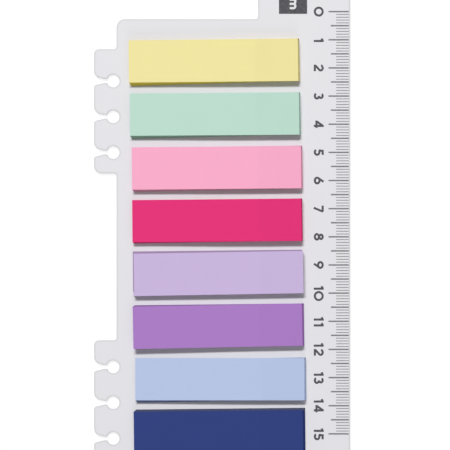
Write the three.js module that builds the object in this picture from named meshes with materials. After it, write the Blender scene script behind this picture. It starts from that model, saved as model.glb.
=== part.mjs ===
// Sticky index tabs on a ring-binder ruler card.
//
// Eight pads of narrow paper markers are stuck in a column on one thin plastic card. The card
// snaps onto the rings of a personal organiser with the keyhole notches in its two combs, and a
// tab stands above the page so that the card can be found from outside.
//
// Millimetres. X runs across the page towards the ruled edge, Y up the page and Z out of the
// card's face. The origin is on the card's underside, in the middle of its outline.

import * as THREE from 'three';

// Card sheet
const CARD_THICKNESS = 0.8;
const PAGE_CORNER_RADIUS = 3;
const FREE_END_STRIP = 4.4; // page edge to the free end of the first marker
const SCALE_STRIP = 18.6; // glued end of the first marker to the ruled edge

// Index tab above the page, at the ruled edge
const TAB_WIDTH = 32.7;
const TAB_RISE = 16;
const TAB_CORNER_RADIUS = 3;
const TAB_ROOT_RADIUS = 1;

// Rings of the binder
const RINGS_PER_COMB = 3;
const RING_PITCH = 12.7;
const COMB_SPACING = 76.2; // between the inner rings of the two combs
const PAGE_END_TO_RING = 22; // page end to the outermost ring
const RING_TO_PAGE_EDGE = 1.2; // ring centre to the page edge, measured into the comb

// Keyhole notch around a ring
const RING_HOLE_RADIUS = 2.25;
const NECK_WIDTH = 1.3;
const NECK_LENGTH = 0.9;
const MOUTH_WIDTH = 3.1;
const MOUTH_DEPTH = 3.65;
const TOOTH_UPPER_RADIUS = 1;
const TOOTH_LOWER_RADIUS = 2.6;

// Ends of the combs
const COMB_OUTER_REACH = 11.35; // outermost ring to the comb's end
const UPPER_COMB_INNER_REACH = 7.45;
const LOWER_COMB_INNER_REACH = 9.5;
const COMB_HEAD_RADIUS = 1.8;
const COMB_ROOT_RADIUS = 1;

// Marker pads
const MARKER_LENGTH = 60;
const MARKER_WIDTH = 15;
const MARKER_GAP = 3.8;
const COLUMN_MARGIN = 7.4; // page end to the nearest pad
const GLUE_LENGTH = 16; // stretch at the pad's right end that holds the glue
const GLUED_HEIGHT = 2;
const FREE_HEIGHT = 1.6;

// Segments in each rounded stretch of the outline, and in each pad along its length and height
const ARC_SEGMENTS = 16;
const PAD_LENGTH_SEGMENTS = 12;
const PAD_HEIGHT_SEGMENTS = 4;

// The pads from the top of the page, as they were stuck down by hand. place is the way the top
// marker lies off its regular spot, in mm, and tilt its turn in degrees. fan is how far the
// lowest marker is turned past the top one about the glued end, and slip how far it is shifted.
// bulge is how much higher than usual the pad is at its free end and at its glued end.
const PADS = [
  {
    name: 'pad_yellow', color: '#f1e6a4', place: [0, 0], tilt: 0.55,
    fan: 1.25, slip: [0.6, 0], bulge: [0.15, 0],
  },
  {
    name: 'pad_mint', color: '#bedecf', place: [0.4, -0.2], tilt: 0.4,
    fan: 1.1, slip: [0.5, 0], bulge: [0.05, 0],
  },
  {
    name: 'pad_pink', color: '#f9adca', place: [1.1, -0.4], tilt: 0.5,
    fan: 0.8, slip: [0.5, 0], bulge: [0.15, 0],
  },
  {
    name: 'pad_magenta', color: '#e53679', place: [1.25, -0.3], tilt: 0.5,
    fan: 0.4, slip: [0.4, 0], bulge: [-0.1, 0],
  },
  {
    name: 'pad_lilac', color: '#ccb7de', place: [1.85, -0.3], tilt: 1,
    fan: -0.4, slip: [-0.4, 0.45], bulge: [0.1, -0.15],
  },
  {
    name: 'pad_purple', color: '#ad7ec6', place: [1.5, -0.2], tilt: 1.1,
    fan: -0.5, slip: [0.7, 0], bulge: [0.4, -0.2],
  },
  {
    name: 'pad_light_blue', color: '#b8c7e6', place: [2.3, -0.2], tilt: 0,
    fan: 1, slip: [0.6, 0], bulge: [-0.2, -0.3],
  },
  {
    name: 'pad_navy', color: '#34447f', place: [1.8, -0.1], tilt: 0.6,
    fan: 0, slip: [0.85, 0.65], bulge: [0, -0.1],
  },
];
const CARD_COLOR = '#e6e7e8';

// Sizes that follow from the driving dimensions. The page is as tall as its rings ask for, or as
// the column of pads with a margin at both ends, whichever is more.
const PAD_PITCH = MARKER_WIDTH + MARKER_GAP;
const COLUMN_LENGTH = PAD_PITCH * (PADS.length - 1) + MARKER_WIDTH;
const RING_SPAN = COMB_SPACING + 2 * (RINGS_PER_COMB - 1) * RING_PITCH;
const PAGE_HEIGHT = Math.max(RING_SPAN + 2 * PAGE_END_TO_RING, COLUMN_LENGTH + 2 * COLUMN_MARGIN);
const PAGE_WIDTH = FREE_END_STRIP + MARKER_LENGTH + SCALE_STRIP;
const RING_INSET = MOUTH_DEPTH + NECK_LENGTH + RING_HOLE_RADIUS; // tooth tip to ring centre
const COMB_DEPTH = RING_INSET + RING_TO_PAGE_EDGE;

// Edges of the card, with the origin in the middle of its whole outline
const TIP_X = -(COMB_DEPTH + PAGE_WIDTH) / 2;
const PAGE_LEFT = TIP_X + COMB_DEPTH;
const PAGE_RIGHT = PAGE_LEFT + PAGE_WIDTH;
const TAB_LEFT = PAGE_RIGHT - TAB_WIDTH;
const PAGE_BOTTOM = -(PAGE_HEIGHT + TAB_RISE) / 2;
const PAGE_TOP = PAGE_BOTTOM + PAGE_HEIGHT;
const PAGE_MIDDLE = (PAGE_BOTTOM + PAGE_TOP) / 2;
const TAB_TOP = PAGE_TOP + TAB_RISE;

/** A corner of the card's outline, rounded to a radius. */
class Corner {
  constructor(x, y, radius) {
    this.entry = new THREE.Vector2(x, y);
    this.exit = this.entry;
    this.radius = radius;
  }

  /** Draws the corner's arc, tangent to the straight stretches on both sides of it. */
  draw(shape, previous, next) {
    const toPrevious = previous.clone().sub(this.entry).normalize();
    const toNext = next.clone().sub(this.entry).normalize();
    const halfAngle = Math.acos(toPrevious.dot(toNext)) / 2;
    const tangentLength = this.radius / Math.tan(halfAngle);
    const start = toPrevious.clone().multiplyScalar(tangentLength).add(this.entry);
    const end = toNext.clone().multiplyScalar(tangentLength).add(this.entry);
    const bisector = toPrevious.clone().add(toNext).normalize();
    const centre = bisector.multiplyScalar(this.radius / Math.sin(halfAngle)).add(this.entry);
    const startAngle = start.sub(centre).angle();
    const endAngle = end.sub(centre).angle();
    const turnsRight = toNext.cross(toPrevious) < 0;
    shape.absarc(centre.x, centre.y, this.radius, startAngle, endAngle, turnsRight);
  }
}

/** A plain point of the card's outline, with no rounding. */
class Point {
  constructor(x, y) {
    this.entry = new THREE.Vector2(x, y);
    this.exit = this.entry;
  }

  draw(shape) {
    shape.lineTo(this.entry.x, this.entry.y);
  }
}

/** The round part of a keyhole, open towards the neck on its left. */
class RingHole {
  constructor(centreY) {
    this.centre = new THREE.Vector2(TIP_X + RING_INSET, centreY);
    this.halfOpening = Math.asin(NECK_WIDTH / 2 / RING_HOLE_RADIUS);
    const neckX = this.centre.x - RING_HOLE_RADIUS * Math.cos(this.halfOpening);
    this.entry = new THREE.Vector2(neckX, centreY + NECK_WIDTH / 2);
    this.exit = new THREE.Vector2(neckX, centreY - NECK_WIDTH / 2);
  }

  draw(shape) {
    const startAngle = Math.PI - this.halfOpening;
    const endAngle = Math.PI + this.halfOpening;
    shape.absarc(this.centre.x, this.centre.y, RING_HOLE_RADIUS, startAngle, endAngle, true);
  }
}

/** The outline of one keyhole notch, from the tooth above it to the tooth below it. */
function keyhole(ringY) {
  const neckX = TIP_X + MOUTH_DEPTH;
  return [
    new Corner(TIP_X, ringY + MOUTH_WIDTH / 2, TOOTH_LOWER_RADIUS),
    new Point(neckX, ringY + NECK_WIDTH / 2),
    new RingHole(ringY),
    new Point(neckX, ringY - NECK_WIDTH / 2),
    new Corner(TIP_X, ringY - MOUTH_WIDTH / 2, TOOTH_UPPER_RADIUS),
  ];
}

/** The outline of one comb, walked downwards from the page's edge to the page's edge. */
function comb(firstRingY, reachAbove, reachBelow) {
  const ringYs = Array.from({ length: RINGS_PER_COMB }, (_, i) => firstRingY - i * RING_PITCH);
  const topY = firstRingY + reachAbove;
  const bottomY = ringYs.at(-1) - reachBelow;
  return [
    new Corner(PAGE_LEFT, topY, COMB_ROOT_RADIUS),
    new Corner(TIP_X, topY, COMB_HEAD_RADIUS),
    ...ringYs.flatMap(keyhole),
    new Corner(TIP_X, bottomY, TOOTH_LOWER_RADIUS),
    new Corner(PAGE_LEFT, bottomY, COMB_ROOT_RADIUS),
  ];
}

/** The card's whole outline, walked counterclockwise from its lower left corner. */
function cardShape() {
  const upperFirstRing = PAGE_MIDDLE + RING_SPAN / 2;
  const lowerFirstRing = PAGE_MIDDLE - COMB_SPACING / 2;
  const outline = [
    new Corner(PAGE_LEFT, PAGE_BOTTOM, PAGE_CORNER_RADIUS),
    new Corner(PAGE_RIGHT, PAGE_BOTTOM, PAGE_CORNER_RADIUS),
    new Corner(PAGE_RIGHT, TAB_TOP, TAB_CORNER_RADIUS),
    new Corner(TAB_LEFT, TAB_TOP, TAB_CORNER_RADIUS),
    new Corner(TAB_LEFT, PAGE_TOP, TAB_ROOT_RADIUS),
    new Corner(PAGE_LEFT, PAGE_TOP, PAGE_CORNER_RADIUS),
    ...comb(upperFirstRing, COMB_OUTER_REACH, UPPER_COMB_INNER_REACH),
    ...comb(lowerFirstRing, LOWER_COMB_INNER_REACH, COMB_OUTER_REACH),
  ];
  const shape = new THREE.Shape();
  outline.forEach((element, index) => {
    const previous = outline.at(index - 1).exit;
    const next = outline[(index + 1) % outline.length].entry;
    element.draw(shape, previous, next);
  });
  return shape;
}

/** The ruler card: one flat sheet cut to the outline. */
function rulerCard() {
  const geometry = new THREE.ExtrudeGeometry(cardShape(), {
    depth: CARD_THICKNESS,
    bevelEnabled: false,
    curveSegments: ARC_SEGMENTS / 2,
  });
  const material = new THREE.MeshStandardMaterial({
    color: CARD_COLOR,
    roughness: 0.45,
    metalness: 0,
  });
  const mesh = new THREE.Mesh(geometry, material);
  mesh.name = 'ruler_card';
  return mesh;
}

/** A pad's height at a distance from its free end: it changes towards the glued stretch. */
function padHeight(pad, fromFreeEnd) {
  const swell = THREE.MathUtils.smoothstep(fromFreeEnd, 0, MARKER_LENGTH - GLUE_LENGTH);
  return THREE.MathUtils.lerp(FREE_HEIGHT + pad.bulge[0], GLUED_HEIGHT + pad.bulge[1], swell);
}

/**
 * A pad of markers as one solid. Each level of the pad is a marker's rectangle, turned about the
 * middle of the glued stretch and shifted by its share of the pad's fan and slip.
 */
function padGeometry(pad) {
  const geometry = new THREE.BoxGeometry(
    MARKER_LENGTH, MARKER_WIDTH, 1, PAD_LENGTH_SEGMENTS, 1, PAD_HEIGHT_SEGMENTS,
  );
  const pivot = new THREE.Vector2((MARKER_LENGTH - GLUE_LENGTH) / 2, 0);
  const positions = geometry.attributes.position;
  for (let i = 0; i < positions.count; i += 1) {
    const level = positions.getZ(i) + 0.5;
    const depth = 1 - level;
    const point = new THREE.Vector2(positions.getX(i), positions.getY(i));
    const height = level * padHeight(pad, point.x + MARKER_LENGTH / 2);
    point.rotateAround(pivot, THREE.MathUtils.degToRad(pad.fan * depth));
    point.x += pad.slip[0] * depth;
    point.y += pad.slip[1] * depth;
    positions.setXYZ(i, point.x, point.y, height);
  }
  geometry.computeVertexNormals();
  return geometry;
}

/** One pad, stuck down flat on the card in its place of the column. */
function markerPad(pad, index) {
  const material = new THREE.MeshStandardMaterial({
    color: pad.color,
    roughness: 0.85,
    metalness: 0,
  });
  const mesh = new THREE.Mesh(padGeometry(pad), material);
  const regularX = PAGE_LEFT + FREE_END_STRIP + MARKER_LENGTH / 2;
  const regularY = PAGE_MIDDLE + (PAGE_HEIGHT - MARKER_WIDTH) / 2 - COLUMN_MARGIN - index * PAD_PITCH;
  mesh.name = pad.name;
  mesh.position.set(regularX + pad.place[0], regularY + pad.place[1], CARD_THICKNESS);
  mesh.rotation.z = THREE.MathUtils.degToRad(pad.tilt);
  return mesh;
}

const stickyIndexTabs = new THREE.Group();
stickyIndexTabs.add(rulerCard());
PADS.forEach((pad, index) => stickyIndexTabs.add(markerPad(pad, index)));

export default stickyIndexTabs;
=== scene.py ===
"""Looks of the sticky index tabs: a frosted ruler card that carries eight pads of paper markers.

All sizes are in metres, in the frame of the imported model: X runs across the page towards the ruled
edge, Y up the page and Z out of the card's face.
"""

import logging
import math
from dataclasses import dataclass, field
from enum import Enum

import bmesh
import bpy
from mathutils import Matrix, Vector


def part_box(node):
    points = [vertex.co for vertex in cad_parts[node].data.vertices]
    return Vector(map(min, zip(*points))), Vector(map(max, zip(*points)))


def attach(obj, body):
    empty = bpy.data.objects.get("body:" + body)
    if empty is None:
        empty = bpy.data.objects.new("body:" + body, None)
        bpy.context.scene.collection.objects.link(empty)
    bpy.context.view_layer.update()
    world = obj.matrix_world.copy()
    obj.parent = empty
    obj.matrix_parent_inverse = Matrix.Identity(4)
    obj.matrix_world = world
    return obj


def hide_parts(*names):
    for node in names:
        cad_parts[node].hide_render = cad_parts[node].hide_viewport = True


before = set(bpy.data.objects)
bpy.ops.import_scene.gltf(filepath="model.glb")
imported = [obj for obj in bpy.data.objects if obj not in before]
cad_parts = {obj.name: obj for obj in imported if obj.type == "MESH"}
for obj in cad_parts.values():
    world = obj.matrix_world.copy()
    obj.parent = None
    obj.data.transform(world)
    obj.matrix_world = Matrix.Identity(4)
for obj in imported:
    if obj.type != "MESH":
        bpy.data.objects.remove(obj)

LOG = logging.getLogger("sticky_index_tabs")
MM = 0.001
TICKS_PER_CENTIMETRE = 10
TICKS_PER_HALF = 5
CLOSED_SHARE = 0.01  # a stroke is a ring where its ends lie within this share of the pen
MITRE_LIMIT = 0.5  # the least cosine that widens a ribbon at a bend
ROOT_BODY = "root"
RIM_ATTRIBUTE = "rim"
LEVEL_ATTRIBUTE = "level"
MARKER_UV = "marker_uv"

FLOAT = "NodeSocketFloat"
INT = "NodeSocketInt"
VECTOR = "NodeSocketVector"
COLOR = "NodeSocketColor"
GEOMETRY = "NodeSocketGeometry"
MATERIAL = "NodeSocketMaterial"

Rgb = tuple[int, int, int]
Rgba = tuple[float, float, float, float]
Point2 = tuple[float, float]
Stroke = list[Point2]


def linear(rgb: Rgb) -> Rgba:
    """Turns a colour as a screen shows it into the scene's linear light.

    Args:
        rgb: red, green and blue from 0 to 255.

    Returns:
        The linear colour with full alpha.
    """
    parts = []
    for value in rgb:
        share = value / 255
        low = share <= 0.04045
        parts.append(share / 12.92 if low else ((share + 0.055) / 1.055) ** 2.4)
    return parts[0], parts[1], parts[2], 1.0


class NodeSketch:
    """Adds nodes to a tree and joins them, so that a formula reads in its own order."""

    def __init__(self, tree: bpy.types.NodeTree) -> None:
        """Starts on an empty tree.

        Args:
            tree: the shader or geometry tree to draw in.
        """
        self.tree = tree
        tree.nodes.clear()

    def node(self, kind: str, **settings: object) -> bpy.types.Node:
        """Adds one node.

        Args:
            kind: the node's type name.
            settings: properties to set on the node, such as operation.

        Returns:
            The new node.
        """
        made = self.tree.nodes.new(kind)
        for name, value in settings.items():
            setattr(made, name, value)
        return made

    def feed(self, socket: bpy.types.NodeSocket, value: object) -> None:
        """Joins a socket to another, or sets its value.

        Args:
            socket: the input to feed.
            value: an output socket, or a plain value.
        """
        if isinstance(value, bpy.types.NodeSocket):
            self.tree.links.new(value, socket)
        else:
            socket.default_value = value

    def math(self, operation: str, *values: object) -> bpy.types.NodeSocket:
        """Adds a Math node.

        Args:
            operation: the node's operation.
            values: what goes into its inputs, in order.

        Returns:
            The result.
        """
        made = self.node("ShaderNodeMath", operation=operation)
        for index, value in enumerate(values):
            self.feed(made.inputs[index], value)
        return made.outputs[0]

    def vector(self, operation: str, *values: object) -> bpy.types.NodeSocket:
        """Adds a Vector Math node.

        Args:
            operation: the node's operation.
            values: what goes into its inputs, in order.

        Returns:
            The resulting vector.
        """
        made = self.node("ShaderNodeVectorMath", operation=operation)
        for index, value in enumerate(values):
            self.feed(made.inputs[index], value)
        return made.outputs[0]

    def split(self, vector: object) -> tuple[bpy.types.NodeSocket, ...]:
        """Splits a vector.

        Args:
            vector: the vector's socket.

        Returns:
            Its x, y and z.
        """
        made = self.node("ShaderNodeSeparateXYZ")
        self.feed(made.inputs[0], vector)
        return made.outputs[0], made.outputs[1], made.outputs[2]

    def join(self, x: object, y: object, z: object) -> bpy.types.NodeSocket:
        """Joins three values into a vector.

        Args:
            x: the first value.
            y: the second value.
            z: the third value.

        Returns:
            The vector.
        """
        made = self.node("ShaderNodeCombineXYZ")
        for index, value in enumerate((x, y, z)):
            self.feed(made.inputs[index], value)
        return made.outputs[0]

    def ramp(self, value: object, low: object, high: object, to_low: object, to_high: object,
             smooth: bool = True) -> bpy.types.NodeSocket:
        """Maps a range onto another.

        Args:
            value: what is mapped.
            low: where the range starts.
            high: where the range ends.
            to_low: the result at its start.
            to_high: the result at its end.
            smooth: whether the ends are eased.

        Returns:
            The mapped value.
        """
        interpolation = "SMOOTHSTEP" if smooth else "LINEAR"
        made = self.node("ShaderNodeMapRange", interpolation_type=interpolation)
        for index, part in enumerate((value, low, high, to_low, to_high)):
            self.feed(made.inputs[index], part)
        return made.outputs[0]

    def mix_color(self, factor: object, first: object, second: object) -> bpy.types.NodeSocket:
        """Mixes two colours.

        Args:
            factor: how much of the second one shows.
            first: the first colour.
            second: the second colour.

        Returns:
            The mixed colour.
        """
        made = self.node("ShaderNodeMix", data_type="RGBA")
        self.feed(made.inputs["Factor"], factor)
        self.feed(made.inputs[6], first)
        self.feed(made.inputs[7], second)
        return made.outputs[2]

    def multiply_color(self, color: object, tone: object) -> bpy.types.NodeSocket:
        """Multiplies a colour by a tone.

        Args:
            color: the colour.
            tone: a value or a colour.

        Returns:
            The product.
        """
        made = self.node("ShaderNodeMix", data_type="RGBA", blend_type="MULTIPLY")
        made.inputs["Factor"].default_value = 1.0
        self.feed(made.inputs[6], color)
        self.feed(made.inputs[7], tone)
        return made.outputs[2]


def add_inputs(tree: bpy.types.NodeTree, sockets: dict[str, tuple[str, object]]) -> None:
    """Gives a node group its named inputs.

    Args:
        tree: the group.
        sockets: each input's name, with its type and its default, or None for no default.
    """
    for name, (kind, default) in sockets.items():
        made = tree.interface.new_socket(name, in_out="INPUT", socket_type=kind)
        if default is not None:
            made.default_value = default


def add_outputs(tree: bpy.types.NodeTree, sockets: dict[str, str]) -> None:
    """Gives a node group its named outputs.

    Args:
        tree: the group.
        sockets: each output's name and type.
    """
    for name, kind in sockets.items():
        tree.interface.new_socket(name, in_out="OUTPUT", socket_type=kind)


def surface_grain_group() -> bpy.types.NodeTree:
    """Makes the shared grain: a fine height, and a tone that drifts slowly over the surface.

    Returns:
        The shader node group.
    """
    tree = bpy.data.node_groups.new("Surface Grain", "ShaderNodeTree")
    sketch = NodeSketch(tree)
    add_inputs(tree, {
        "Grain Scale": (FLOAT, 3000.0),
        "Drift Scale": (FLOAT, 60.0),
        "Contrast": (FLOAT, 0.02),
    })
    add_outputs(tree, {"Tone": FLOAT, "Height": FLOAT})
    given = sketch.node("NodeGroupInput")
    place = sketch.node("ShaderNodeTexCoord").outputs["Object"]
    grain = sketch.node("ShaderNodeTexNoise")
    sketch.feed(grain.inputs["Vector"], place)
    sketch.feed(grain.inputs["Scale"], given.outputs["Grain Scale"])
    drift = sketch.node("ShaderNodeTexNoise")
    sketch.feed(drift.inputs["Vector"], place)
    sketch.feed(drift.inputs["Scale"], given.outputs["Drift Scale"])
    mixed = sketch.math("ADD", grain.outputs[0], drift.outputs[0])
    swing = sketch.math("SUBTRACT", mixed, 1.0)
    tone = sketch.math("MULTIPLY_ADD", swing, given.outputs["Contrast"], 1.0)
    result = sketch.node("NodeGroupOutput")
    sketch.feed(result.inputs["Tone"], tone)
    sketch.feed(result.inputs["Height"], grain.outputs[0])
    return tree


def paper_sheet_group(grain: bpy.types.NodeTree) -> bpy.types.NodeTree:
    """Makes the look of a stacked marker: fibres, painted shade on the glued stretch, and painted light
    and shade on the borders below the top.

    The borders exposed at the top and at the free end are painted darker as crevice shade; the other
    walls of the lower sheets get painted bounce light and shade.

    Args:
        grain: the shared grain group.

    Returns:
        The shader node group.
    """
    tree = bpy.data.node_groups.new("Paper Marker", "ShaderNodeTree")
    sketch = NodeSketch(tree)
    add_inputs(tree, {
        "Color": (COLOR, (0.8, 0.8, 0.8, 1.0)),
        "Wall Light And Shade Color": (COLOR, (0.8, 0.8, 0.8, 1.0)),
        "Crevice Shade Color": (COLOR, (0.5, 0.5, 0.5, 1.0)),
        "Bare Top": (FLOAT, 0.96),
        "Bare End": (FLOAT, 0.012),
        "Foot": (FLOAT, 0.06),
        "Glued Share": (FLOAT, 0.27),
        "Glued Slope Shade": (FLOAT, 0.98),
        "Glue Blend": (FLOAT, 0.03),
        "Under Top": (FLOAT, 0.9),
        "Top Sheet": (FLOAT, 0.99),
        "Grain Scale": (FLOAT, 2600.0),
        "Drift Scale": (FLOAT, 120.0),
        "Contrast": (FLOAT, 0.03),
    })
    add_outputs(tree, {"Color": COLOR, "Height": FLOAT})
    given = sketch.node("NodeGroupInput")
    texture = sketch.node("ShaderNodeGroup")
    texture.node_tree = grain
    for name in ("Grain Scale", "Drift Scale", "Contrast"):
        sketch.feed(texture.inputs[name], given.outputs[name])

    along, upwards, _ = sketch.split(sketch.node("ShaderNodeUVMap", uv_map=MARKER_UV).outputs[0])
    # The glued stretch is painted a little darker, as shade from its upward slope.
    glue_start = sketch.math("SUBTRACT", 1.0, given.outputs["Glued Share"])
    glue_full = sketch.math("ADD", glue_start, given.outputs["Glue Blend"])
    glue_slope_shade = sketch.ramp(along, glue_start, glue_full, 1.0, given.outputs["Glued Slope Shade"])

    # Painted light and shade go only on the sheets below the top marker.
    level = sketch.node("ShaderNodeAttribute", attribute_name=LEVEL_ATTRIBUTE).outputs["Fac"]
    below = sketch.ramp(level, given.outputs["Under Top"], given.outputs["Top Sheet"], 1.0, 0.0)
    at_top = sketch.math("GREATER_THAN", upwards, given.outputs["Bare Top"])
    at_free_end = sketch.math("LESS_THAN", along, given.outputs["Bare End"])
    above_foot = sketch.math("GREATER_THAN", upwards, given.outputs["Foot"])
    at_free_end = sketch.math("MULTIPLY", at_free_end, above_foot)
    # The exposed top and free-end borders of the lower sheets get painted crevice shade.
    crevice_shaded = sketch.math("MULTIPLY", below, sketch.math("MAXIMUM", at_top, at_free_end))
    # The rest of the lower sheets' walls, short of the glued end, get painted bounce light and shade.
    from_glued_end = sketch.math("SUBTRACT", 1.0, along)
    inside = sketch.math("GREATER_THAN", from_glued_end, given.outputs["Bare End"])
    painted_wall_mask = sketch.math("MULTIPLY", below, inside)
    tinted = sketch.mix_color(painted_wall_mask, given.outputs["Color"], given.outputs["Wall Light And Shade Color"])
    tinted = sketch.mix_color(crevice_shaded, tinted, given.outputs["Crevice Shade Color"])
    tone = sketch.math("MULTIPLY", texture.outputs["Tone"], glue_slope_shade)
    result = sketch.node("NodeGroupOutput")
    sketch.feed(result.inputs["Color"], sketch.multiply_color(tinted, tone))
    sketch.feed(result.inputs["Height"], texture.outputs["Height"])
    return tree


@dataclass(frozen=True)
class SurfaceFinish:
    """A plain finish with the shared grain: the card's frosted plastic, or the ink. Its rim factor paints
    shade along the card's cut rim.
    """

    slot: str
    tint: Rgb
    roughness: float
    grain_scale: float
    drift_scale: float
    contrast: float
    bump_depth: float
    bump_strength: float = 0.4
    # How dark the painted shade along the cut rim gets; 1 paints none.
    rim_tone: float = 1.0

    def build(self, grain: bpy.types.NodeTree) -> bpy.types.Material:
        """Makes the material.

        Args:
            grain: the shared grain group.

        Returns:
            The material.
        """
        material = bpy.data.materials.new(self.slot)
        material.use_nodes = True
        sketch = NodeSketch(material.node_tree)
        texture = sketch.node("ShaderNodeGroup")
        texture.node_tree = grain
        texture.inputs["Grain Scale"].default_value = self.grain_scale
        texture.inputs["Drift Scale"].default_value = self.drift_scale
        texture.inputs["Contrast"].default_value = self.contrast
        # Painted shade along the card's cut rim, fading inwards over the rim band.
        rim = sketch.node("ShaderNodeAttribute", attribute_name=RIM_ATTRIBUTE).outputs["Fac"]
        rim_tone = sketch.ramp(rim, 0.0, 1.0, 1.0, self.rim_tone)
        tone = sketch.math("MULTIPLY", texture.outputs["Tone"], rim_tone)
        color = sketch.multiply_color(linear(self.tint), tone)
        bump = sketch.node("ShaderNodeBump")
        bump.inputs["Strength"].default_value = self.bump_strength
        bump.inputs["Distance"].default_value = self.bump_depth
        sketch.feed(bump.inputs["Height"], texture.outputs["Height"])
        shader = sketch.node("ShaderNodeBsdfPrincipled")
        shader.inputs["Roughness"].default_value = self.roughness
        sketch.feed(shader.inputs["Base Color"], color)
        sketch.feed(shader.inputs["Normal"], bump.outputs[0])
        output = sketch.node("ShaderNodeOutputMaterial")
        sketch.feed(output.inputs["Surface"], shader.outputs[0])
        return material


@dataclass(frozen=True)
class PaperFinish:
    """The dyed paper of one pad: the face of a marker, and the painted light and shade on the borders
    below the top one.
    """

    slot: str
    tint: Rgb
    # Painted bounce light and shade on the walls of the sheets below the top marker.
    wall_tint: Rgb
    # Painted crevice shade on the exposed top and free-end borders of the lower sheets.
    bare_edge_tint: Rgb
    roughness: float = 0.85
    bump_depth: float = 0.02 * MM
    bump_strength: float = 0.5
    specular: float = 0.2

    def build(self, paper: bpy.types.NodeTree) -> bpy.types.Material:
        """Makes the material.

        Args:
            paper: the shared paper group.

        Returns:
            The material.
        """
        material = bpy.data.materials.new(self.slot)
        material.use_nodes = True
        sketch = NodeSketch(material.node_tree)
        sheet = sketch.node("ShaderNodeGroup")
        sheet.node_tree = paper
        sheet.inputs["Color"].default_value = linear(self.tint)
        sheet.inputs["Wall Light And Shade Color"].default_value = linear(self.wall_tint)
        sheet.inputs["Crevice Shade Color"].default_value = linear(self.bare_edge_tint)
        bump = sketch.node("ShaderNodeBump")
        bump.inputs["Strength"].default_value = self.bump_strength
        bump.inputs["Distance"].default_value = self.bump_depth
        sketch.feed(bump.inputs["Height"], sheet.outputs["Height"])
        shader = sketch.node("ShaderNodeBsdfPrincipled")
        shader.inputs["Roughness"].default_value = self.roughness
        shader.inputs["Specular IOR Level"].default_value = self.specular
        sketch.feed(shader.inputs["Base Color"], sheet.outputs["Color"])
        sketch.feed(shader.inputs["Normal"], bump.outputs[0])
        output = sketch.node("ShaderNodeOutputMaterial")
        sketch.feed(output.inputs["Surface"], shader.outputs[0])
        return material


FROSTED_PLASTIC = SurfaceFinish(
    slot="frosted_plastic",
    tint=(228, 227, 231),
    roughness=0.42,
    grain_scale=4200.0,
    drift_scale=24.0,
    contrast=0.02,
    bump_depth=0.006 * MM,
    # The card's cut rim is painted darker as shade along the edge.
    rim_tone=0.84,
)
SCALE_INK = SurfaceFinish(
    slot="scale_ink",
    tint=(72, 72, 77),
    roughness=0.75,
    grain_scale=2600.0,
    drift_scale=1900.0,
    contrast=1.6,
    bump_depth=0.004 * MM,
)
# The fine ticks carry less ink than the numbers, so they look paler.
THIN_INK = SurfaceFinish(
    slot="scale_ink",
    tint=(114, 114, 120),
    roughness=0.6,
    grain_scale=2600.0,
    drift_scale=300.0,
    contrast=0.08,
    bump_depth=0.004 * MM,
)


class Dye(Enum):
    """The eight papers, from the top of the page.

    Each has the colour of its face, the painted bounce light and shade of the walls below the top marker,
    and the painted crevice shade of the exposed top and free-end borders.
    """

    # Per pad: face colour, painted light and shade for the walls below the top marker, painted crevice
    # shade for the exposed top and free-end borders.
    YELLOW = PaperFinish("yellow_paper", (241, 230, 162), (252, 236, 112), (190, 178, 110))
    MINT = PaperFinish("mint_paper", (189, 222, 207), (178, 212, 194), (140, 170, 155))
    PINK = PaperFinish("pink_paper", (250, 173, 203), (240, 182, 206), (196, 132, 155))
    MAGENTA = PaperFinish("magenta_paper", (229, 50, 121), (226, 66, 128), (165, 34, 84))
    LILAC = PaperFinish("lilac_paper", (203, 183, 223), (206, 190, 222), (164, 142, 174))
    PURPLE = PaperFinish("purple_paper", (172, 125, 198), (186, 148, 204), (136, 100, 156))
    LIGHT_BLUE = PaperFinish("light_blue_paper", (184, 199, 231), (142, 156, 200), (134, 144, 172))
    NAVY = PaperFinish("navy_paper", (46, 63, 125), (66, 78, 124), (76, 80, 106))


def register(piece: bpy.types.Object, replaced: str | None = None) -> None:
    """Hands a finished piece to the frame.

    Args:
        piece: the piece, in its place.
        replaced: the CAD node that it stands for, if any.
    """
    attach(piece, ROOT_BODY)
    if replaced is not None:
        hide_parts(replaced)
    LOG.info("%s: %d faces", piece.name, len(piece.data.polygons))


def new_piece(name: str, mesh: bpy.types.Mesh, material: bpy.types.Material) -> bpy.types.Object:
    """Links a mesh as a piece of the scene.

    Args:
        name: the piece's name.
        mesh: its mesh.
        material: its one material.

    Returns:
        The object, at the origin.
    """
    mesh.materials.clear()
    mesh.materials.append(material)
    piece = bpy.data.objects.new(name, mesh)
    bpy.context.scene.collection.objects.link(piece)
    return piece


def grow(name: str, tree: bpy.types.NodeTree, inputs: dict[str, object],
         material: bpy.types.Material) -> bpy.types.Object:
    """Runs a geometry tree and keeps its result as a plain mesh.

    Args:
        name: the piece's name.
        tree: the geometry node tree.
        inputs: values for the tree's inputs, by name.
        material: the material that the tree sets.

    Returns:
        The piece, with no modifier left on it.
    """
    seed = bpy.data.objects.new(name + "_seed", bpy.data.meshes.new(name + "_seed"))
    bpy.context.scene.collection.objects.link(seed)
    modifier = seed.modifiers.new("grow", "NODES")
    modifier.node_group = tree
    for item in tree.interface.items_tree:
        if item.item_type == "SOCKET" and item.in_out == "INPUT" and item.name in inputs:
            modifier[item.identifier] = inputs[item.name]
        if item.item_type == "SOCKET" and item.in_out == "INPUT" and item.name == "Material":
            modifier[item.identifier] = material
    depsgraph = bpy.context.evaluated_depsgraph_get()
    mesh = bpy.data.meshes.new_from_object(seed.evaluated_get(depsgraph))
    seed.modifiers.remove(modifier)
    bpy.data.objects.remove(seed)
    mesh.name = name
    return new_piece(name, mesh, material)


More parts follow.
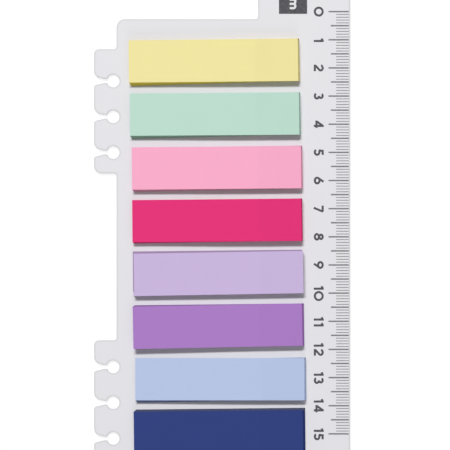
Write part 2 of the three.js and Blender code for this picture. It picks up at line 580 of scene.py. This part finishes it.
@dataclass
class RulerCard:
    """The frosted card: the CAD sheet with its cut rim softened and painted a little darker, as shade
    along the cut edge.

    A face is part of the front or back where its normal stands up by more than level_share.
    """

    node: str = "ruler_card"
    rim_radius: float = 0.12 * MM
    rim_segments: int = 3
    rim_angle: float = math.radians(50)
    rim_band: float = 0.9 * MM
    flat_angle: float = math.radians(1)
    weld: float = 0.001 * MM
    level_share: float = 0.5

    def build(self, material: bpy.types.Material) -> bpy.types.Object:
        """Makes the card.

        Args:
            material: the frosted plastic.

        Returns:
            The card's piece.
        """
        sheet = bmesh.new()
        sheet.from_mesh(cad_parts[self.node].data)
        bmesh.ops.remove_doubles(sheet, verts=sheet.verts, dist=self.weld)
        bmesh.ops.dissolve_limit(
            sheet, angle_limit=self.flat_angle, verts=sheet.verts, edges=sheet.edges,
        )
        # The rim attribute marks the cut edge, where the plastic paints shade; the inset band fades it
        # out.
        rim = sheet.verts.layers.float.new(RIM_ATTRIBUTE)
        for vertex in sheet.verts:
            vertex[rim] = 1.0
        faces = [face for face in sheet.faces if abs(face.normal.z) > self.level_share]
        bmesh.ops.inset_individual(sheet, faces=faces, thickness=self.rim_band, use_even_offset=True)
        for vertex in {vertex for face in faces for vertex in face.verts}:
            vertex[rim] = 0.0
        mesh = bpy.data.meshes.new("frosted_card")
        sheet.to_mesh(mesh)
        sheet.free()
        piece = new_piece("frosted_card", mesh, material)
        bevel = piece.modifiers.new("rim", "BEVEL")
        bevel.width = self.rim_radius
        bevel.segments = self.rim_segments
        bevel.limit_method = "ANGLE"
        bevel.angle_limit = self.rim_angle
        return piece


def scale_ticks_tree() -> bpy.types.NodeTree:
    """Makes the tree that lays out the ticks of a ruler downwards from its zero.

    Returns:
        The geometry node tree.
    """
    tree = bpy.data.node_groups.new("Scale Ticks", "GeometryNodeTree")
    sketch = NodeSketch(tree)
    add_inputs(tree, {
        "Count": (INT, 151),
        "Pitch": (FLOAT, 1 * MM),
        "Zero": (VECTOR, (0.0, 0.0, 0.0)),
        "Long": (FLOAT, 7 * MM),
        "Middle": (FLOAT, 6 * MM),
        "Short": (FLOAT, 4 * MM),
        "Bold Width": (FLOAT, 0.4 * MM),
        "Fine Width": (FLOAT, 0.2 * MM),
        "Ink Height": (FLOAT, 0.01 * MM),
        "Material": (MATERIAL, None),
    })
    add_outputs(tree, {"Geometry": GEOMETRY})
    given = sketch.node("NodeGroupInput").outputs
    line = sketch.node("GeometryNodeMeshLine", mode="OFFSET")
    step = sketch.math("MULTIPLY", given["Pitch"], -1.0)
    sketch.feed(line.inputs["Count"], given["Count"])
    sketch.feed(line.inputs["Start Location"], given["Zero"])
    sketch.feed(line.inputs["Offset"], sketch.join(0.0, step, 0.0))

    index = sketch.node("GeometryNodeInputIndex").outputs[0]
    past_centimetre = sketch.math("MODULO", index, float(TICKS_PER_CENTIMETRE))
    past_half = sketch.math("MODULO", index, float(TICKS_PER_HALF))
    on_centimetre = sketch.math("LESS_THAN", past_centimetre, 0.5)
    on_half = sketch.math("LESS_THAN", past_half, 0.5)
    length = sketch.ramp(on_half, 0.0, 1.0, given["Short"], given["Middle"], smooth=False)
    length = sketch.ramp(on_centimetre, 0.0, 1.0, length, given["Long"], smooth=False)
    width = sketch.ramp(on_half, 0.0, 1.0, given["Fine Width"], given["Bold Width"], smooth=False)

    spread = sketch.node("GeometryNodeSetPosition")
    sketch.feed(spread.inputs["Geometry"], line.outputs[0])
    sketch.feed(spread.inputs["Offset"], sketch.join(sketch.math("MULTIPLY", length, -0.5), 0.0, 0.0))
    plate = sketch.node("GeometryNodeMeshCube")
    marks = sketch.node("GeometryNodeInstanceOnPoints")
    sketch.feed(marks.inputs["Points"], spread.outputs[0])
    sketch.feed(marks.inputs["Instance"], plate.outputs["Mesh"])
    sketch.feed(marks.inputs["Scale"], sketch.join(length, width, given["Ink Height"]))
    finish_tree(sketch, marks.outputs[0], given["Material"])
    return tree


def marker_stack_tree() -> bpy.types.NodeTree:
    """Makes the tree that stacks the markers of one pad, glued at their right ends.

    Returns:
        The geometry node tree.
    """
    tree = bpy.data.node_groups.new("Marker Stack", "GeometryNodeTree")
    sketch = NodeSketch(tree)
    add_inputs(tree, {
        "Sheets": (INT, 22),
        "Length": (FLOAT, 60 * MM),
        "Width": (FLOAT, 15 * MM),
        "Columns": (INT, 31),
        "Glue Length": (FLOAT, 16 * MM),
        "Free Height": (FLOAT, 1.6 * MM),
        "Glued Height": (FLOAT, 2 * MM),
        "Filled Share": (FLOAT, 0.86),
        "Fan": (FLOAT, 0.0),
        "Slip": (VECTOR, (0.0, 0.0, 0.0)),
        "Stagger": (FLOAT, 0.03 * MM),
        "Seed": (INT, 0),
        "Material": (MATERIAL, None),
    })
    add_outputs(tree, {"Geometry": GEOMETRY})
    given = sketch.node("NodeGroupInput").outputs

    levels = sketch.node("GeometryNodeMeshLine", mode="OFFSET")
    sketch.feed(levels.inputs["Count"], given["Sheets"])
    sketch.feed(levels.inputs["Offset"], (0.0, 0.0, 0.0))
    last = sketch.math("SUBTRACT", given["Sheets"], 1.0)
    index = sketch.node("GeometryNodeInputIndex").outputs[0]
    leveled = store(sketch, levels.outputs[0], LEVEL_ATTRIBUTE, "FLOAT", "POINT",
                    sketch.math("DIVIDE", index, last))

    sheet = sketch.node("GeometryNodeMeshCube")
    sketch.feed(sheet.inputs["Size"], sketch.join(given["Length"], given["Width"], 1.0))
    sketch.feed(sheet.inputs["Vertices X"], given["Columns"])
    place = sketch.node("GeometryNodeInputPosition").outputs[0]
    flat_x, flat_y, _ = sketch.split(place)
    across = sketch.math("ADD", sketch.math("DIVIDE", flat_x, given["Length"]), 0.5)
    upwards = sketch.math("ADD", sketch.math("DIVIDE", flat_y, given["Width"]), 0.5)
    mapped = store(sketch, sheet.outputs["Mesh"], MARKER_UV, "FLOAT2", "CORNER",
                   sketch.join(across, upwards, 0.0))

    stack = sketch.node("GeometryNodeInstanceOnPoints")
    sketch.feed(stack.inputs["Points"], leveled)
    sketch.feed(stack.inputs["Instance"], mapped)
    sheets = sketch.node("GeometryNodeRealizeInstances")
    sketch.feed(sheets.inputs[0], stack.outputs[0])

    named = sketch.node("GeometryNodeInputNamedAttribute", data_type="FLOAT")
    named.inputs["Name"].default_value = LEVEL_ATTRIBUTE
    level = named.outputs[0]
    depth = sketch.math("SUBTRACT", 1.0, level)
    number = sketch.math("MULTIPLY", level, last)
    x, y, side = sketch.split(sketch.node("GeometryNodeInputPosition").outputs[0])
    within = sketch.math("MULTIPLY_ADD", side, given["Filled Share"], 0.5)
    share = sketch.math("DIVIDE", sketch.math("ADD", number, within), given["Sheets"])
    half = sketch.math("MULTIPLY", given["Length"], 0.5)
    glue_start = sketch.math("SUBTRACT", half, given["Glue Length"])
    free_end = sketch.math("MULTIPLY", half, -1.0)
    height = sketch.ramp(x, free_end, glue_start, given["Free Height"], given["Glued Height"])

    glue_middle = sketch.math("MULTIPLY_ADD", given["Glue Length"], -0.5, half)
    turned = sketch.node("ShaderNodeVectorRotate", rotation_type="Z_AXIS")
    sketch.feed(turned.inputs["Vector"], sketch.join(x, y, 0.0))
    sketch.feed(turned.inputs["Center"], sketch.join(glue_middle, 0.0, 0.0))
    sketch.feed(turned.inputs["Angle"], sketch.math("MULTIPLY", given["Fan"], depth))
    slipped = sketch.node("ShaderNodeVectorMath", operation="SCALE")
    sketch.feed(slipped.inputs[0], given["Slip"])
    sketch.feed(slipped.inputs["Scale"], depth)
    shaken = sketch.node("FunctionNodeRandomValue", data_type="FLOAT_VECTOR")
    shake = sketch.join(given["Stagger"], given["Stagger"], 0.0)
    sketch.feed(shaken.inputs["Min"], sketch.vector("MULTIPLY", shake, (-1.0, -1.0, 0.0)))
    sketch.feed(shaken.inputs["Max"], shake)
    sketch.feed(shaken.inputs["ID"], sketch.math("ROUND", number))
    sketch.feed(shaken.inputs["Seed"], given["Seed"])
    moved = sketch.vector("ADD", turned.outputs[0], slipped.outputs[0])
    moved = sketch.vector("ADD", moved, shaken.outputs[0])
    raised = sketch.vector("ADD", moved, sketch.join(0.0, 0.0, sketch.math("MULTIPLY", share, height)))
    placed = sketch.node("GeometryNodeSetPosition")
    sketch.feed(placed.inputs["Geometry"], sheets.outputs[0])
    sketch.feed(placed.inputs["Position"], raised)
    finish_tree(sketch, placed.outputs[0], given["Material"])
    return tree


def store(sketch: NodeSketch, geometry: object, name: str, data_type: str, domain: str,
          value: object) -> bpy.types.NodeSocket:
    """Keeps a value on the geometry as a named attribute.

    Args:
        sketch: the tree that is drawn.
        geometry: the geometry's socket.
        name: the attribute's name.
        data_type: its type.
        domain: what it is kept on.
        value: the value's socket.

    Returns:
        The geometry with the attribute.
    """
    made = sketch.node("GeometryNodeStoreNamedAttribute", data_type=data_type, domain=domain)
    made.inputs["Name"].default_value = name
    sketch.feed(made.inputs["Geometry"], geometry)
    sketch.feed(made.inputs["Value"], value)
    return made.outputs[0]


def finish_tree(sketch: NodeSketch, geometry: object, material: object) -> None:
    """Ends a geometry tree with real, painted geometry.

    Args:
        sketch: the tree that is drawn.
        geometry: the geometry's socket.
        material: the material's socket.
    """
    real = sketch.node("GeometryNodeRealizeInstances")
    sketch.feed(real.inputs[0], geometry)
    painted = sketch.node("GeometryNodeSetMaterial")
    sketch.feed(painted.inputs["Geometry"], real.outputs[0])
    sketch.feed(painted.inputs["Material"], material)
    sketch.feed(sketch.node("NodeGroupOutput").inputs[0], painted.outputs[0])


def arc(centre: Point2, radii: Point2, start: float, end: float, steps: int = 28) -> Stroke:
    """Samples an arc of an ellipse.

    Args:
        centre: its centre.
        radii: its half width and half height.
        start: the first angle in degrees.
        end: the last angle in degrees.
        steps: the number of straight pieces.

    Returns:
        The points along the arc.
    """
    points = []
    for index in range(steps + 1):
        angle = math.radians(start + (end - start) * index / steps)
        points.append((
            centre[0] + radii[0] * math.cos(angle),
            centre[1] + radii[1] * math.sin(angle),
        ))
    return points


@dataclass
class PenLetters:
    """Numbers and letters drawn with a square-cut pen, one unit tall."""

    pen: float = 0.215
    gap: float = 0.11
    strokes: dict[str, list[Stroke]] = field(default_factory=dict)

    def __post_init__(self) -> None:
        """Draws each sign's strokes along the middle of the pen."""
        low = self.pen / 2
        top = 1 - low
        small_top = 0.66
        self.strokes = {
            "0": [arc((0, 0.5), (0.375, top - 0.5), 0, 360)],
            "1": [[(0.08, 0), (0.08, 1)], [(-0.15, 0.79), (0.08, top)]],
            "2": [
                arc((0, 0.69), (0.235, top - 0.69), 170, -35) + [(-0.22, low + 0.06)],
                [(-0.31, low), (0.31, low)],
            ],
            "3": [
                arc((0, 0.715), (0.19, top - 0.715), 155, -90),
                arc((0, 0.31), (0.235, 0.31 - low), 90, -155),
            ],
            "4": [
                [(0.13, 0), (0.13, 1)],
                [(0.13, 0.93), (-0.29, 0.3)],
                [(-0.38, 0.27), (0.32, 0.27)],
            ],
            "5": [
                [(0.26, top), (-0.12, top)],
                [(-0.1, 1), (-0.17, 0.5)],
                arc((0, 0.335), (0.25, 0.335 - low), 130, -150),
            ],
            "6": [arc((0, 0.34), (0.27, 0.34 - low), 0, 360), [(-0.235, 0.44), (0.12, 0.98)]],
            "7": [[(-0.3, top), (0.27, top)], [(0.26, top + 0.02), (-0.1, 0)]],
            "8": [
                arc((0, 0.725), (0.2, top - 0.725), 0, 360),
                arc((0, 0.31), (0.255, 0.31 - low), 0, 360),
            ],
            "9": [arc((0, 0.66), (0.27, top - 0.66), 0, 360), [(0.235, 0.56), (-0.12, 0.02)]],
            "c": [arc((0, small_top / 2), (0.26, small_top / 2 - low), 48, 312)],
            "m": [
                [(-0.4, 0), (-0.4, small_top)],
                arc((-0.2, 0.37), (0.2, small_top - low - 0.37), 180, 0) + [(0, 0)],
                arc((0.2, 0.37), (0.2, small_top - low - 0.37), 180, 0) + [(0.4, 0)],
            ],
        }

    def reach(self, sign: str) -> Point2:
        """How far a sign reaches to the left and right, the pen's width included.

        Args:
            sign: the digit or letter.

        Returns:
            Its lowest and highest place across.
        """
        places = [x for stroke in self.strokes[sign] for x, _ in stroke]
        return min(places) - self.pen / 2, max(places) + self.pen / 2

    def write(self, text: str) -> list[Stroke]:
        """Writes a text, centred across.

        Args:
            text: the signs to write.

        Returns:
            The strokes of the whole text.
        """
        reaches = [self.reach(sign) for sign in text]
        total = sum(high - low for low, high in reaches) + self.gap * (len(text) - 1)
        cursor = -total / 2
        written = []
        for sign, (low, high) in zip(text, reaches):
            for stroke in self.strokes[sign]:
                written.append([(x - low + cursor, y) for x, y in stroke])
            cursor += high - low + self.gap
        return written


def ribbon(mesh: bmesh.types.BMesh, points: Stroke, pen: float, low: float, high: float) -> None:
    """Adds a flat ribbon along a stroke, as a closed plate.

    Args:
        mesh: the mesh to add to.
        points: the middle of the stroke. It is a closed ring where its ends meet.
        pen: the ribbon's width.
        low: the height of its underside.
        high: the height of its top.
    """
    middle = [Vector(point) for point in points]
    closed = (middle[0] - middle[-1]).length < pen * CLOSED_SHARE
    if closed:
        middle.pop()
    count = len(middle)
    rails: list[list[bmesh.types.BMVert]] = []
    for index, point in enumerate(middle):
        before = middle[index - 1] if closed or index else point
        after = middle[(index + 1) % count] if closed or index < count - 1 else point
        into = (point - before).normalized() if before is not point else (after - point).normalized()
        out = (after - point).normalized() if after is not point else into
        mitre = (into + out).normalized()
        side = Vector((-mitre.y, mitre.x)) * (pen / 2 / max(MITRE_LIMIT, mitre.dot(out)))
        corners = (point + side, point - side)
        rails.append([
            mesh.verts.new((corner.x, corner.y, level))
            for corner, level in zip(corners * 2, (low, low, high, high))
        ])
    spans = count if closed else count - 1
    for index in range(spans):
        here, there = rails[index], rails[(index + 1) % count]
        for a, b in ((0, 1), (1, 3), (3, 2), (2, 0)):
            mesh.faces.new((here[a], here[b], there[b], there[a]))
    if not closed:
        for end in (rails[0], rails[-1]):
            mesh.faces.new((end[0], end[1], end[3], end[2]))


@dataclass
class PrintedScale:
    """The centimetre scale printed along the ruled edge: its ticks, numbers and unit."""

    zero_below_tab_top: float = 13.4 * MM
    edge_gap: float = 0.5 * MM
    centimetres: int = 15
    tick_pitch: float = 1 * MM
    long_tick: float = 7.2 * MM
    middle_tick: float = 6.35 * MM
    short_tick: float = 4.5 * MM
    bold_width: float = 0.5 * MM
    fine_width: float = 0.24 * MM
    number_height: float = 3.53 * MM
    number_stretch: float = 1.06
    number_base_from_edge: float = 12.93 * MM
    unit_block: float = 10 * MM
    unit_block_from_edge: float = 20.3 * MM
    unit_block_above_zero: float = 4.2 * MM
    unit_height: float = 3.6 * MM
    unit_foot: float = 1.2 * MM
    stroke_step: float = 0.001 * MM
    ink_height: float = 0.012 * MM
    ink_gap: float = 0.004 * MM
    letters: PenLetters = field(default_factory=PenLetters)

    def zero(self) -> Vector:
        """Where the ticks' right ends start, on the card's face."""
        _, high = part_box("ruler_card")
        return Vector((
            high.x - self.edge_gap,
            high.y - self.zero_below_tab_top,
            high.z + self.ink_gap,
        ))

    def build_ticks(self, tree: bpy.types.NodeTree, ink: bpy.types.Material) -> bpy.types.Object:
        """Prints the ticks.

        Args:
            tree: the tick tree.
            ink: the ink.

        Returns:
            The ticks' piece.
        """
        start = self.zero() + Vector((0, 0, self.ink_height / 2))
        return grow("scale_ticks", tree, {
            "Count": self.centimetres * TICKS_PER_CENTIMETRE + 1,
            "Pitch": self.tick_pitch,
            "Zero": tuple(start),
            "Long": self.long_tick,
            "Middle": self.middle_tick,
            "Short": self.short_tick,
            "Bold Width": self.bold_width,
            "Fine Width": self.fine_width,
            "Ink Height": self.ink_height,
        }, ink)

    def print_text(self, mesh: bmesh.types.BMesh, text: str, base: Point2, height: float,
                   low: float) -> None:
        """Prints a text that reads down the page.

        Args:
            mesh: the mesh to add to.
            text: the signs.
            base: the middle of the text's foot, on the card.
            height: the height of a number.
            low: the level of the print's underside.
        """
        across = height * self.number_stretch
        for index, stroke in enumerate(self.letters.write(text)):
            points = [(base[0] + y * height, base[1] - x * across) for x, y in stroke]
            top = low + self.ink_height + index * self.stroke_step
            ribbon(mesh, points, self.letters.pen * height, low, top)

    def build_numbers(self, ink: bpy.types.Material) -> bpy.types.Object:
        """Prints the numbers and the dark block for the unit.

        Args:
            ink: the ink.

        Returns:
            The numbers' piece.
        """
        print_mesh = bmesh.new()
        _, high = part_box("ruler_card")
        zero = self.zero()
        base_x = high.x - self.number_base_from_edge
        for number in range(self.centimetres + 1):
            place = (base_x, zero.y - number * TICKS_PER_CENTIMETRE * self.tick_pitch)
            self.print_text(print_mesh, str(number), place, self.number_height, zero.z)
        middle = self.unit_middle()
        half = self.unit_block / 2
        upright = [(middle[0], middle[1] - half), (middle[0], middle[1] + half)]
        ribbon(print_mesh, upright, self.unit_block, zero.z, zero.z + self.ink_height)
        return self.finish_print("scale_numbers", print_mesh, ink)

    def unit_middle(self) -> Point2:
        """Where the middle of the unit's block is."""
        _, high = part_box("ruler_card")
        return (
            high.x - self.unit_block_from_edge,
            self.zero().y + self.unit_block_above_zero,
        )

    def build_unit(self, plastic: bpy.types.Material) -> bpy.types.Object:
        """Leaves the unit's letters pale on their dark block.

        Args:
            plastic: the card's own plastic.

        Returns:
            The letters' piece.
        """
        letters = bmesh.new()
        middle = self.unit_middle()
        foot = (middle[0] - self.unit_foot, middle[1])
        level = self.zero().z + self.ink_height + self.ink_gap
        self.print_text(letters, "cm", foot, self.unit_height, level)
        return self.finish_print("scale_unit", letters, plastic)

    def finish_print(self, name: str, print_mesh: bmesh.types.BMesh,
                     material: bpy.types.Material) -> bpy.types.Object:
        """Turns a print's faces outwards and makes it a piece.

        Args:
            name: the piece's name.
            print_mesh: the print, which is used up.
            material: its material.

        Returns:
            The piece.
        """
        bmesh.ops.recalc_face_normals(print_mesh, faces=print_mesh.faces)
        mesh = bpy.data.meshes.new(name)
        print_mesh.to_mesh(mesh)
        print_mesh.free()
        return new_piece(name, mesh, material)


@dataclass
class MarkerPad:
    """One pad of sticky markers, as it was stuck down by hand.

    Its place, slip and bulge are in millimetres, and its tilt and fan in degrees. The bulge is what the
    free end and the glued end rise above the usual heights.
    """

    color: str
    dye: Dye
    place: Point2
    tilt: float
    fan: float
    slip: Point2
    bulge: Point2
    length: float = 60 * MM
    width: float = 15 * MM
    glue_length: float = 16 * MM
    free_height: float = 1.6 * MM
    glued_height: float = 2 * MM
    sheets: int = 22

    def build(self, tree: bpy.types.NodeTree, paper: bpy.types.Material, regular: Vector,
              seed: int) -> bpy.types.Object:
        """Stacks the pad and lays it on the card.

        Args:
            tree: the stack tree.
            paper: the pad's paper.
            regular: the middle of the pad's regular spot on the card's face.
            seed: the seed of the small stagger between the markers.

        Returns:
            The pad's piece.
        """
        piece = grow("marker_pad_" + self.color, tree, {
            "Sheets": self.sheets,
            "Length": self.length,
            "Width": self.width,
            "Glue Length": self.glue_length,
            "Free Height": self.free_height + self.bulge[0] * MM,
            "Glued Height": self.glued_height + self.bulge[1] * MM,
            "Fan": math.radians(self.fan),
            "Slip": (self.slip[0] * MM, self.slip[1] * MM, 0.0),
            "Seed": seed,
        }, paper)
        spot = regular + Vector((self.place[0] * MM, self.place[1] * MM, 0))
        turn = Matrix.Rotation(math.radians(self.tilt), 4, "Z")
        piece.data.transform(Matrix.Translation(spot) @ turn)
        return piece


@dataclass
class PadColumn:
    """The column of eight pads down the card."""

    top_to_first: float = 30.9 * MM
    edge_to_middle: float = 48.6 * MM
    pitch: float = 18.8 * MM
    pads: list[MarkerPad] = field(default_factory=lambda: [
        MarkerPad("yellow", Dye.YELLOW, (0, 0), 0.55, 1.25, (0.6, 0), (0.15, 0)),
        MarkerPad("mint", Dye.MINT, (0.4, -0.2), 0.4, 1.1, (0.5, 0), (0.05, 0)),
        MarkerPad("pink", Dye.PINK, (1.1, -0.4), 0.5, 0.8, (0.5, 0), (0.15, 0)),
        MarkerPad("magenta", Dye.MAGENTA, (1.25, -0.3), 0.5, 0.4, (0.4, 0), (-0.1, 0)),
        MarkerPad("lilac", Dye.LILAC, (1.85, -0.3), 1, -0.4, (-0.4, 0.45), (0.1, -0.15)),
        MarkerPad("purple", Dye.PURPLE, (1.5, -0.2), 1.1, -0.5, (0.7, 0), (0.4, -0.2)),
        MarkerPad("light_blue", Dye.LIGHT_BLUE, (2.3, -0.2), 0, 1, (0.6, 0), (-0.2, -0.3)),
        MarkerPad("navy", Dye.NAVY, (1.8, -0.1), 0.6, 0, (0.85, 0.65), (0, -0.1)),
    ])

    def build(self, tree: bpy.types.NodeTree, paper: bpy.types.NodeTree) -> None:
        """Builds all pads and hands them to the frame.

        Args:
            tree: the stack tree.
            paper: the shared paper group.
        """
        _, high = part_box("ruler_card")
        for index, pad in enumerate(self.pads):
            regular = Vector((
                high.x - self.edge_to_middle,
                high.y - self.top_to_first - index * self.pitch,
                high.z,
            ))
            finish = pad.dye.value
            piece = pad.build(tree, finish.build(paper), regular, seed=index)
            register(piece, "pad_" + pad.color)


@dataclass
class Studio:
    """The pale floor, the light and the camera."""

    photo_width: float = 450.0
    photo_scale: float = 2.815 / MM
    photo_origin: Point2 = (222.1, 237.1)
    camera_height: float = 0.9
    sensor: float = 36.0
    floor_size: float = 3.0
    floor_gap: float = 0.05 * MM
    floor_matte: float = 0.8
    floor_lit: float = 0.2
    floor_glow: float = 0.84
    key_direction: tuple[float, float, float] = (-0.31, 1.0, 1.0)
    key_distance: float = 4.0
    key_width: float = 2.0
    key_height: float = 0.5
    key_share: float = 0.728
    bounce_direction: tuple[float, float, float] = (0.1, -1.0, 0.3)
    bounce_distance: float = 3.0
    bounce_size: float = 1.6
    bounce_share: float = 0.078
    fill_share: float = 0.205

    def build_camera(self) -> None:
        """Hangs the camera straight over the card, framed as the photograph is."""
        middle = self.photo_width / 2
        x = (middle - self.photo_origin[0]) / self.photo_scale
        y = (self.photo_origin[1] - middle) / self.photo_scale
        _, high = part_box("ruler_card")
        field_width = self.photo_width / self.photo_scale
        camera = bpy.data.cameras.new("camera")
        camera.sensor_width = self.sensor
        camera.lens = self.sensor * (self.camera_height - high.z) / field_width
        holder = bpy.data.objects.new("camera", camera)
        holder.location = (x, y, self.camera_height)
        bpy.context.scene.collection.objects.link(holder)
        bpy.context.scene.camera = holder

    def seen_directly(self, sketch: NodeSketch) -> bpy.types.NodeSocket:
        """Tells the camera's own rays, and those that gloss and glass pass on.

        Args:
            sketch: the tree that is drawn.

        Returns:
            One for such a ray, and zero for any other.
        """
        path = sketch.node("ShaderNodeLightPath").outputs
        seen = sketch.math("MAXIMUM", path["Is Camera Ray"], path["Is Glossy Ray"])
        return sketch.math("MAXIMUM", seen, path["Is Transmission Ray"])

    def build_floor(self) -> None:
        """Lays the pale floor just under the card."""
        material = bpy.data.materials.new("pale_floor")
        material.use_nodes = True
        sketch = NodeSketch(material.node_tree)
        matte = sketch.node("ShaderNodeBsdfDiffuse")
        matte.inputs["Color"].default_value = (self.floor_matte,) * 3 + (1,)
        lit = sketch.node("ShaderNodeBsdfDiffuse")
        lit.inputs["Color"].default_value = (self.floor_lit,) * 3 + (1,)
        glow = sketch.node("ShaderNodeEmission")
        glow.inputs["Strength"].default_value = self.floor_glow
        shown = sketch.node("ShaderNodeAddShader")
        sketch.feed(shown.inputs[0], lit.outputs[0])
        sketch.feed(shown.inputs[1], glow.outputs[0])
        mixed = sketch.node("ShaderNodeMixShader")
        sketch.feed(mixed.inputs[0], self.seen_directly(sketch))
        sketch.feed(mixed.inputs[1], matte.outputs[0])
        sketch.feed(mixed.inputs[2], shown.outputs[0])
        output = sketch.node("ShaderNodeOutputMaterial")
        sketch.feed(output.inputs["Surface"], mixed.outputs[0])

        low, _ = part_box("ruler_card")
        half = self.floor_size / 2
        level = low.z - self.floor_gap
        corners = [(-half, -half, level), (half, -half, level), (half, half, level), (-half, half, level)]
        mesh = bpy.data.meshes.new("floor")
        mesh.from_pydata(corners, [], [(0, 1, 2, 3)])
        new_piece("floor", mesh, material)

    def build_lamp(self, name: str, towards: tuple[float, float, float], distance: float,
                   size: Point2, share: float) -> None:
        """Sets one area lamp that shines at the card, as strong as its distance and slant ask for.

        Args:
            name: the lamp's name.
            towards: the direction from the card to the lamp.
            distance: how far away it is.
            size: its width and height.
            share: the part of a white surface's brightness that it gives.
        """
        direction = Vector(towards).normalized()
        lamp = bpy.data.lights.new(name, "AREA")
        lamp.shape = "RECTANGLE"
        lamp.size, lamp.size_y = size
        lamp.energy = share * (math.pi * distance) ** 2 / direction.z
        holder = bpy.data.objects.new(name, lamp)
        holder.location = direction * distance
        holder.rotation_euler = direction.to_track_quat("Z", "Y").to_euler()
        bpy.context.scene.collection.objects.link(holder)

    def build_light(self) -> None:
        """Sets a wide key light at the upper left, a low reflector and the world's even fill."""
        key_size = (self.key_width, self.key_height)
        self.build_lamp("key", self.key_direction, self.key_distance, key_size, self.key_share)
        bounce_size = (self.bounce_size, self.bounce_size)
        self.build_lamp(
            "bounce", self.bounce_direction, self.bounce_distance, bounce_size, self.bounce_share,
        )
        world = bpy.data.worlds.new("studio")
        world.use_nodes = True
        sketch = NodeSketch(world.node_tree)
        strength = sketch.ramp(self.seen_directly(sketch), 0.0, 1.0, self.fill_share, 1.0, smooth=False)
        background = sketch.node("ShaderNodeBackground")
        background.inputs["Color"].default_value = (1, 1, 1, 1)
        sketch.feed(background.inputs["Strength"], strength)
        output = sketch.node("ShaderNodeOutputWorld")
        sketch.feed(output.inputs["Surface"], background.outputs[0])
        bpy.context.scene.world = world

    def build(self) -> None:
        """Builds the whole studio."""
        self.build_camera()
        self.build_floor()
        self.build_light()
        bpy.context.scene.view_settings.view_transform = "Standard"


def main() -> None:
    """Builds the studio, the card, its print and its pads, in that order."""
    logging.basicConfig(level=logging.INFO, format="%(name)s: %(message)s")
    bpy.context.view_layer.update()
    Studio().build()
    grain = surface_grain_group()
    paper = paper_sheet_group(grain)

    card = RulerCard()
    plastic = FROSTED_PLASTIC.build(grain)
    register(card.build(plastic), card.node)

    scale = PrintedScale()
    ink = SCALE_INK.build(grain)
    register(scale.build_ticks(scale_ticks_tree(), THIN_INK.build(grain)))
    register(scale.build_numbers(ink))
    register(scale.build_unit(plastic))

    PadColumn().build(marker_stack_tree(), paper)


if __name__ == "__main__":
    main()
